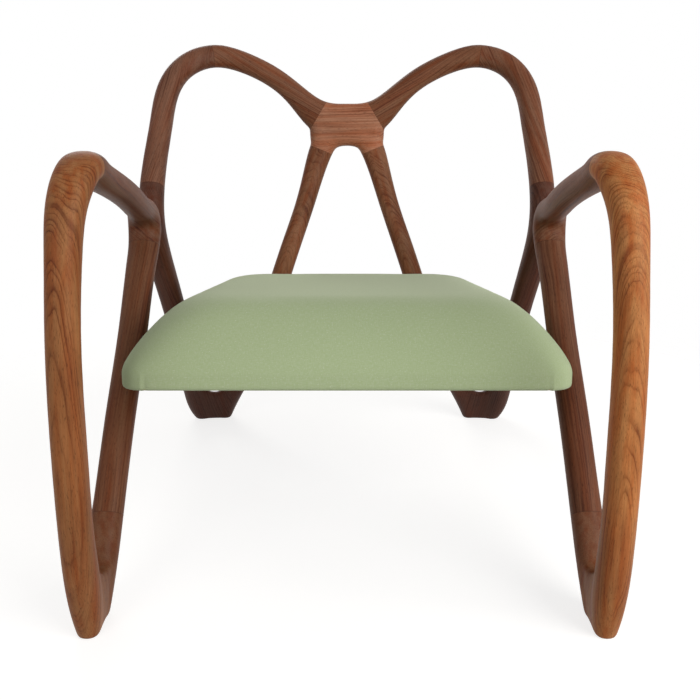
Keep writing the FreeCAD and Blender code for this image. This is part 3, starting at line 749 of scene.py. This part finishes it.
class CHAIR_OT_bearers(bpy.types.Operator):
    """Ease the edges of the two bars that carry the seat"""

    bl_idname = "chair.bearers"
    bl_label = "Seat Bearers"

    def execute(self, context):
        settings = context.scene.chair_frame
        wood = bpy.data.materials["oiled_hardwood"]
        for name in BEARERS:
            piece = eased(name, "_eased", settings.bearer_edge, 3)
            piece.data.shade_smooth()
            lay_in_plank(piece.data, name, BEARER_SEED + BEARERS.index(name))
            store(piece.data, "glue", np.full(len(piece.data.vertices), NO_GLUE))
            finished(piece, wood, [name])
        return {"FINISHED"}


class SeatPlane:
    """The pitched frame of the seat: across, back from its front edge and up from its underside."""

    def __init__(self):
        up = Vector(main_axes(node_points("dust_cover"))[2])
        self.up = up if up.z > 0 else -up
        self.back = self.up.cross(ACROSS)
        self.axes = np.array((ACROSS, self.back, self.up))
        self.start = (node_points("seat_cover") @ self.axes.T).min(0) * (0, 1, 1)

    def local(self, points):
        """Points of the chair in the seat's frame."""
        return points @ self.axes.T - self.start

    def world(self, points):
        """Points of the seat's frame in the chair's."""
        return (np.asarray(points) + self.start) @ self.axes

    def heights(self, mesh):
        """How far a mesh's vertices lie above the underside."""
        return self.local(coordinates(mesh))[:, 2]


def puffed(piece, fixed, cap):
    """Lets the filling swell a pad outwards, with some vertices fixed and a cap on the rest."""
    rest, outward = coordinates(piece.data), vertex_normals(piece.data)
    group = piece.vertex_groups.new(name="fixed")
    group.add([int(k) for k in np.flatnonzero(fixed)], 1.0, "REPLACE")
    cloth = modify(piece, "CLOTH")
    for name, value in FILLED_COVER.items():
        setattr(cloth.settings, name, value)
    cloth.settings.effector_weights.gravity = 0
    cloth.collision_settings.use_collision = False
    cloth.point_cache.frame_start = 1
    cloth.point_cache.frame_end = FILLING_FRAMES
    scene = bpy.context.scene
    for step in range(1, FILLING_FRAMES + 1):
        scene.frame_set(step)
    settle(piece)
    scene.frame_set(1)
    piece.vertex_groups.clear()
    swelling = np.clip(((coordinates(piece.data) - rest) * outward).sum(1), 0, cap)
    place_vertices(piece.data, rest + outward * swelling[:, None])


def press(mesh, skin, shares):
    """Moves vertices, each by its share, onto the nearest point of a skin."""
    points = coordinates(mesh)
    for k in np.flatnonzero(shares > 0):
        points[k] += shares[k] * (np.array(skin.find_nearest(points[k])[0]) - points[k])
    place_vertices(mesh, points)


class CHAIR_OT_seat_pad(bpy.types.Operator):
    """Stretch the sage cover over its domed filling"""

    bl_idname = "chair.seat_pad"
    bl_label = "Seat Pad"

    def execute(self, context):
        settings = context.scene.chair_seat
        plane = SeatPlane()
        form = self.form(settings)
        skin = BVHTree.FromBMesh(form)
        pad = new_object("seat_pad", form)
        modify(pad, "REMESH", mode="VOXEL", voxel_size=settings.voxel)
        settle(pad)
        press(pad.data, skin, np.ones(len(pad.data.vertices)))
        modify(pad, "SMOOTH", iterations=2)
        settle(pad)
        puffed(pad, plane.heights(pad.data) < FIXED_BELOW, settings.puff)
        self.crown(pad, plane)
        modify(pad, "SUBSURF", levels=1, render_levels=1)
        settle(pad)
        pad.data.shade_smooth()
        press(pad.data, skin, share_between(plane.heights(pad.data), EDGE_FREE, EDGE_TIGHT))
        self.tuck(pad.data, plane)
        self.lay_cloth(pad.data, plane)
        finished(pad, sage_plain_weave(settings), ["seat_cover", "seat_foam"])
        return {"FINISHED"}

    def form(self, settings):
        """The seat as one closed block, a little fuller at the sides, with its rim rounded."""
        bm = merged(["seat_cover"])
        hull = bmesh.ops.convex_hull(bm, input=bm.verts)
        bmesh.ops.delete(bm, geom=hull["geom_interior"] + hull["geom_unused"], context="VERTS")
        kept = {f for f in hull["geom"] if isinstance(f, bmesh.types.BMFace)}
        bmesh.ops.delete(bm, geom=[f for f in bm.faces if f not in kept], context="FACES")
        for vertex in bm.verts:
            vertex.co.x *= 1 + settings.fullness
        ease_edges(bm, settings.rim, math.radians(0.1), 4)
        bmesh.ops.triangulate(bm, faces=bm.faces)
        return bm

    def crown(self, pad, plane):
        """Works the dome smooth, from the top of the straight edge up."""
        group = pad.vertex_groups.new(name="crown")
        for k, share in enumerate(share_between(plane.heights(pad.data), CROWN_START, CROWN_FULL)):
            if share > 0:
                group.add([k], float(share), "REPLACE")
        modify(pad, "SMOOTH", vertex_group="crown", iterations=CROWN_PASSES)
        settle(pad)
        pad.vertex_groups.clear()

    def tuck(self, mesh, plane):
        """Folds a short pleat into the cover at each front corner, up from the lower edge."""
        inset, rise, width, depth = 33 * MM, 27 * MM, 2.8 * MM, 1.3 * MM
        points = coordinates(mesh)
        across, back, up = plane.local(points).T
        beside = (np.abs(across) - (np.abs(across).max() - inset)) / width
        fold = beside * np.exp(0.5 - beside * beside) * math.sqrt(2)
        share = fold * share_between(up, rise, 0) * (back < inset)
        place_vertices(mesh, points - np.outer(share * depth, plane.back))

    def lay_cloth(self, mesh, plane):
        """Unrolls the cover: threads run straight over the crown and down the sides."""
        points = coordinates(mesh)
        local = plane.local(points)
        normals = plane.local(points + vertex_normals(mesh)) - local
        drop = local[:, 2].max() - local[:, 2]
        lean = np.linalg.norm(normals[:, :2], axis=1)
        outward = normals[:, :2] / np.maximum(lean, TINY)[:, None]
        flat = local[:, :2] + outward * (drop * lean)[:, None]
        store(mesh, "cloth", np.column_stack((flat, np.zeros(len(flat)))))


class CHAIR_OT_seat_core(bpy.types.Operator):
    """Finish the wooden seat frame, its dowels and the webbing"""

    bl_idname = "chair.seat_core"
    bl_label = "Seat Core"

    def execute(self, context):
        finishes = {
            planed_wood("pine_batten", ("#B58F5E", "#D9B98A"), "X"): SEAT_RAILS,
            planed_wood("beech_dowel", ("#BE9469", "#D8B48C"), "Y"): DOWELS,
        }
        for material, names in finishes.items():
            for name in names:
                paint(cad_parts[name].data, material)
        jute = jute_webbing()
        for name in WEBBING:
            finished(eased(name, "_straps", STRAP_EDGE, 2), jute, [name])
        return {"FINISHED"}


def node_group(name, **sockets):
    """An empty geometry node tree: mesh in, mesh out and some named inputs between."""
    tree = bpy.data.node_groups.new(name, "GeometryNodeTree")
    tree.interface.new_socket("Geometry", in_out="INPUT", socket_type="NodeSocketGeometry")
    for label, kind in sockets.items():
        tree.interface.new_socket(label, in_out="INPUT", socket_type="NodeSocket" + kind)
    tree.interface.new_socket("Geometry", in_out="OUTPUT", socket_type="NodeSocketGeometry")
    return tree, node(tree, "NodeGroupInput").outputs


def set_along(tree, given, points, part, along, size):
    """Ends a tree: a copy of a part on each point, its Z axis up and its X axis along a direction."""
    axes = {"Primary Axis": given["Up"], "Secondary Axis": along}
    turn = node(tree, "FunctionNodeAxesToRotation", axes, primary_axis="Z", secondary_axis="X")
    setting = {"Points": points, "Instance": part, "Rotation": turn, "Scale": size}
    copies = node(tree, "GeometryNodeInstanceOnPoints", setting)
    real = node(tree, "GeometryNodeRealizeInstances", {"Geometry": copies})
    dressed = node(tree, "GeometryNodeSetMaterial", {"Geometry": real, "Material": given["Finish"]})
    node(tree, "NodeGroupOutput", {"Geometry": dressed})


def driven_screws():
    """A tree that drives a screw, modelled one unit wide and long, at each point of a mesh."""
    tree, given = node_group(
        "driven_screws", Screw="Object", Radius="Float", Length="Float", Up="Vector", Finish="Material"
    )
    screw = node(tree, "GeometryNodeObjectInfo", {"Object": given["Screw"]}).outputs["Geometry"]
    points = node(tree, "GeometryNodeMeshToPoints", {"Mesh": given["Geometry"]})
    size = node(
        tree, "ShaderNodeCombineXYZ", {"X": given["Radius"], "Y": given["Radius"], "Z": given["Length"]}
    )
    set_along(tree, given, points, screw, ACROSS, size)
    return tree


def staple_rows():
    """A tree that sets wire staples, each a crown between two legs, along a closed line."""
    sizes = dict.fromkeys(STAPLE_SIZES, "Float")
    tree, given = node_group("staple_rows", **sizes, Up="Vector", Finish="Material")
    line = node(tree, "GeometryNodeMeshToCurve", {"Mesh": given["Geometry"]})
    bend = {"Curve": line, "Radius": given["Corner"], "Count": 8}
    bent = node(tree, "GeometryNodeFilletCurve", bend, mode="POLY")
    row = node(
        tree, "GeometryNodeResampleCurve", {"Curve": bent, "Length": given["Spacing"]}, mode="LENGTH"
    )

    # The staple's wire: four points, numbered from one leg's end to the other's
    bare = node(tree, "GeometryNodeMeshLine", {"Count": 4})
    number = node(tree, "GeometryNodeInputIndex")
    place = node(tree, MATH, (number, 1.5), operation="SUBTRACT")
    side = node(tree, MATH, (place,), operation="SIGN")
    half = node(tree, MATH, (given["Crown"], 0.5), operation="MULTIPLY")
    across = node(tree, MATH, (side, half), operation="MULTIPLY")
    from_middle = node(tree, MATH, (place,), operation="ABSOLUTE")
    is_end = node(tree, MATH, (from_middle, 1.0), operation="GREATER_THAN")
    depth = node(tree, MATH, (is_end, given["Leg"]), operation="MULTIPLY")
    shape = node(tree, "ShaderNodeCombineXYZ", {"X": across, "Z": depth})
    placed = node(tree, "GeometryNodeSetPosition", {"Geometry": bare, "Position": shape})
    wire = node(tree, "GeometryNodeMeshToCurve", {"Mesh": placed})
    fold = {"Curve": wire, "Radius": given["Wire"], "Count": 3}
    folded = node(tree, "GeometryNodeFilletCurve", fold, mode="POLY")
    radius = node(tree, MATH, (given["Wire"], 0.5), operation="MULTIPLY")
    section = node(tree, "GeometryNodeCurvePrimitiveCircle", {"Resolution": 8, "Radius": radius})
    staple = node(
        tree, "GeometryNodeCurveToMesh", {"Curve": folded, "Profile Curve": section, "Fill Caps": True}
    )
    set_along(tree, given, row, staple, node(tree, "GeometryNodeInputTangent"), (1, 1, 1))
    return tree


def run_tree(piece, tree, **values):
    """Runs a geometry node tree on a piece, with a value for each named input, and keeps the mesh."""
    layer = modify(piece, "NODES", node_group=tree)
    for socket in tree.interface.items_tree:
        if socket.name in values:
            layer[socket.identifier] = values[socket.name]
    piece.update_tag()
    settle(piece)


def turned(name, profile, segments=24):
    """A small turned part: a profile of (radius, height) spun about the Z axis."""
    bm = bmesh.new()
    turns = [2 * math.pi * k / segments for k in range(segments)]
    rings = [
        [bm.verts.new((radius * math.cos(turn), radius * math.sin(turn), height)) for turn in turns]
        for radius, height in profile
    ]
    for low, high in zip(rings, rings[1:]):
        for k in range(segments):
            bm.faces.new((low[k - 1], low[k], high[k], high[k - 1]))
    bm.faces.new(reversed(rings[0]))
    bm.faces.new(rings[-1])
    return new_object(name, bm)


class CHAIR_OT_screws(bpy.types.Operator):
    """Drive the four seat screws"""

    bl_idname = "chair.screws"
    bl_label = "Seat Screws"

    def execute(self, context):
        plane = SeatPlane()
        points = plane.local(node_points("seat_screws"))
        places = []
        for sign in SIDES.values():
            side = on_side(points, sign)
            middle = (side[:, 1].min() + side[:, 1].max()) / 2
            for half in (side[side[:, 1] < middle], side[side[:, 1] > middle]):
                low, high = half.min(0), half.max(0)
                places.append(((low[0] + high[0]) / 2, (low[1] + high[1]) / 2, low[2]))
        piece = drawn("seat_screws_driven", plane.world(places))
        width, _, length = high - low
        tool = self.screw(length)
        steel = zinc_plated_steel()
        sizes = {"Radius": float(width / 2), "Length": float(length)}
        run_tree(piece, driven_screws(), Screw=tool, **sizes, Up=plane.up, Finish=steel)
        bpy.data.objects.remove(tool)
        finished(piece, steel, ["seat_screws"])
        return {"FINISHED"}

    def screw(self, length):
        """A pan-head wood screw, head down, with a cross recess and a thread of rings, one unit
        wide from its axis to the head's edge and one unit long."""
        head, plain, pitch, tip = (size / length for size in (3.6 * MM, 7 * MM, 1.8 * MM, 7 * MM))
        shank, root, point = 0.5, 0.36, 0.05
        profile = [(0.55, 0), (0.9, head * 0.25), (1, head * 0.6), (1, head)]
        profile += [(shank, head), (shank, head + plain * 0.86)]
        level = head + plain
        while level < 1 - tip:
            profile += [(root, level), (shank, level + pitch / 2)]
            level += pitch
        profile += [(shank * 0.7, 1 - tip), (point, 1)]
        tool = turned("screw", profile)
        bm = bmesh.new()
        for spin in (0, math.pi / 2):
            size = Matrix.Diagonal((1.1, 0.22, head * 0.9, 1))
            bmesh.ops.create_cube(bm, size=1, matrix=Matrix.Rotation(spin, 4, "Z") @ size)
        cutter = new_object("recess", bm)
        modify(tool, "BOOLEAN", object=cutter, use_self=True)
        settle(tool)
        bpy.data.objects.remove(cutter)
        return tool


class CHAIR_OT_dust_cloth(bpy.types.Operator):
    """Stretch the dust cloth over the seat's underside and staple it down"""

    bl_idname = "chair.dust_cloth"
    bl_label = "Dust Cloth"

    def execute(self, context):
        settings = context.scene.chair_underside
        plane = SeatPlane()
        points = plane.local(node_points("dust_cover"))
        front, rear = points[:, 1].min(), points[:, 1].max()
        level = points[:, 2].min() - settings.gap
        # Half widths at the front and rear ends, where the dust cover's corners start
        end = settings.cloth_corner * 1.2
        near = points[points[:, 1] < front + end, 0].max()
        far = points[points[:, 1] > rear - end, 0].max()
        outline = (front, rear, near, far, level)
        piece = self.cloth(settings, plane, *outline)
        finished(piece, spunbond_dust_cloth(), ["dust_cover"])
        self.staples(settings, plane, *outline)
        return {"FINISHED"}

    def cloth(self, settings, plane, front, rear, near, far, level):
        """A grid over the underside, its corners rounded, slack between the staples."""
        rows, columns = 61, 71
        corner = settings.cloth_corner
        share = np.linspace(0, 1, rows)[:, None]
        back = front + (rear - front) * share
        half = near + (far - near) * share
        across = half * np.linspace(-1, 1, columns)

        # Points past a corner's round are drawn in to it
        centre = np.clip(back, front + corner, rear - corner)
        past = np.abs(across) - (half - corner)
        reach = np.hypot(np.maximum(past, 0), back - centre)
        pull = np.where((past > 0) & (reach > corner), corner / np.maximum(reach, TINY), 1.0)
        x = np.sign(across) * (half - corner + past * pull)
        y = np.where(pull < 1, centre + (back - centre) * pull, back)

        from_edge = np.minimum(np.minimum(share, 1 - share) * (rear - front), half - np.abs(x))
        wave = 0.12 * np.sin(x / (21 * MM)) * np.sin(back / (27 * MM) + 1)
        z = level - self.slack(settings, from_edge) * (1 + wave)
        starts = [i * columns + j for i in range(rows - 1) for j in range(columns - 1)]
        faces = [(a, a + columns, a + columns + 1, a + 1) for a in starts]
        piece = drawn("dust_cloth", plane.world(np.dstack((x, y, z)).reshape(-1, 3)), (), faces)
        piece.data.shade_smooth()
        modify(piece, "SOLIDIFY", thickness=settings.thickness, offset=-1)
        settle(piece)
        return piece

    def slack(self, settings, from_edge):
        """How far the cloth hangs at a distance from its edge."""
        return settings.sag * (1 - np.exp(-np.maximum(from_edge, 0) / (45 * MM)))

    def staples(self, settings, plane, front, rear, near, far, level):
        """Wire staples along the cloth's edge, a little inside it."""
        inset = settings.inset
        depth = level - self.slack(settings, inset)
        front, rear, near, far = front + inset, rear - inset, near - inset, far - inset
        corners = [(-near, front), (near, front), (far, rear), (-far, rear)]
        line = plane.world([(*corner, depth) for corner in corners])
        piece = drawn("staples", line, [(k, (k + 1) % 4) for k in range(4)])
        steel = bpy.data.materials["zinc_plated_steel"]
        sizes = {size: getattr(settings, size.lower()) for size in STAPLE_SIZES}
        run_tree(piece, staple_rows(), **sizes, Up=plane.up, Finish=steel)
        finished(piece, steel)


def strength_by_ray(tree, seen, falling):
    """A strength for what the camera, a mirror or glass sees, and one for light on surfaces."""
    path = node(tree, "ShaderNodeLightPath").outputs
    direct = path["Is Camera Ray"]
    for kind in ("Is Glossy Ray", "Is Transmission Ray"):
        direct = node(tree, MATH, (direct, path[kind]), operation="MAXIMUM")
    return node(tree, MATH, (direct, seen - falling, falling), operation="MULTIPLY_ADD")


class CHAIR_OT_stage(bpy.types.Operator):
    """Set up the floor, the soft light and the camera"""

    bl_idname = "chair.stage"
    bl_label = "Stage"

    def execute(self, context):
        settings = context.scene.chair_stage
        context.scene.view_settings.view_transform = "Standard"
        self.floor(settings)
        self.sky(context.scene)
        self.lamps()
        camera = bpy.data.cameras.new("camera")
        camera.lens = settings.lens
        camera.sensor_width = 36
        camera.shift_x = PHOTO_SHIFT / PHOTO_WIDTH
        camera.dof.use_dof = False
        holder = new_object("camera", camera)
        holder.location = (0, -settings.distance, settings.height)
        holder.rotation_euler = (math.pi / 2 - settings.tilt, 0, 0)
        context.scene.camera = holder
        return {"FINISHED"}

    def floor(self, settings):
        """A pale floor that keeps the chair's shadow and fades into the white around it."""
        corners = [(x * FLOOR_HALF, y * FLOOR_HALF, 0) for x, y in ((-1, -1), (1, -1), (1, 1), (-1, 1))]
        floor = drawn("studio_floor", corners, (), [(0, 1, 2, 3)])
        material, tree = new_material("studio_floor")
        diffuse = node(tree, "ShaderNodeBsdfDiffuse", {"Color": settings.floor})
        glow = node(tree, "ShaderNodeEmission", {"Strength": strength_by_ray(tree, FLOOR_GLOW, 0.0)})
        both = node(tree, "ShaderNodeAddShader", (diffuse, glow))
        place = node(tree, "ShaderNodeTexCoord").outputs["Object"]
        reach = node(tree, "ShaderNodeVectorMath", (place,), operation="LENGTH")
        span = {"Value": reach, "From Min": FLOOR_FADE_START, "From Max": FLOOR_FADE_END}
        fade = node(tree, "ShaderNodeMapRange", span, interpolation_type="SMOOTHSTEP")
        clear = node(tree, "ShaderNodeBsdfTransparent")
        ground = node(tree, "ShaderNodeMixShader", (fade, both, clear))
        node(tree, "ShaderNodeOutputMaterial", {"Surface": ground})
        paint(floor.data, material)

    def sky(self, scene):
        """Soft light from all sides, which looks white where it is seen."""
        scene.world = bpy.data.worlds.new("studio")
        scene.world.use_nodes = True
        tree = scene.world.node_tree
        tree.nodes.clear()
        strength = strength_by_ray(tree, 1.0, SKY_LIGHT)
        back = node(tree, "ShaderNodeBackground", {"Color": (1, 1, 1, 1), "Strength": strength})
        node(tree, "ShaderNodeOutputWorld", {"Surface": back})

    def lamps(self):
        """Round soft lamps that look at the chair's middle."""
        for name, (place, size, power) in LAMPS.items():
            lamp = bpy.data.lights.new(name, "AREA")
            lamp.shape = "DISK"
            lamp.size = size
            lamp.energy = power
            holder = new_object(name, lamp)
            holder.location = place
            holder.rotation_mode = "QUATERNION"
            holder.rotation_quaternion = (LAMP_AIM - Vector(place)).to_track_quat("-Z", "Y")


class CHAIR_PT_panel(bpy.types.Panel):
    """Shows the chair's operators and their settings"""

    bl_label = "Carved Lounge Chair"
    bl_idname = "CHAIR_PT_panel"
    bl_space_type = "VIEW_3D"
    bl_region_type = "UI"
    bl_category = "Chair"

    def draw(self, context):
        for operator in OPERATORS:
            self.layout.operator(operator.bl_idname)
        for group in SETTINGS:
            for name in SETTINGS[group].__annotations__:
                self.layout.prop(getattr(context.scene, group), name)


OPERATORS = (
    CHAIR_OT_carved_frame,
    CHAIR_OT_bearers,
    CHAIR_OT_seat_pad,
    CHAIR_OT_seat_core,
    CHAIR_OT_screws,
    CHAIR_OT_dust_cloth,
    CHAIR_OT_stage,
)
SETTINGS = {
    "chair_frame": CarvedFrameSettings,
    "chair_seat": SeatSettings,
    "chair_underside": UndersideSettings,
    "chair_stage": StageSettings,
}


def register():
    for kind in (*SETTINGS.values(), *OPERATORS, CHAIR_PT_panel):
        bpy.utils.register_class(kind)
    for name, kind in SETTINGS.items():
        setattr(bpy.types.Scene, name, bpy.props.PointerProperty(type=kind))


def unregister():
    for name in SETTINGS:
        delattr(bpy.types.Scene, name)
    for kind in (CHAIR_PT_panel, *reversed(OPERATORS), *SETTINGS.values()):
        bpy.utils.unregister_class(kind)


def main():
    register()
    bpy.ops.chair.carved_frame()
    bpy.ops.chair.bearers()
    bpy.ops.chair.seat_pad()
    bpy.ops.chair.seat_core()
    bpy.ops.chair.screws()
    bpy.ops.chair.dust_cloth()
    bpy.ops.chair.stage()


if __name__ == "__main__":
    main()
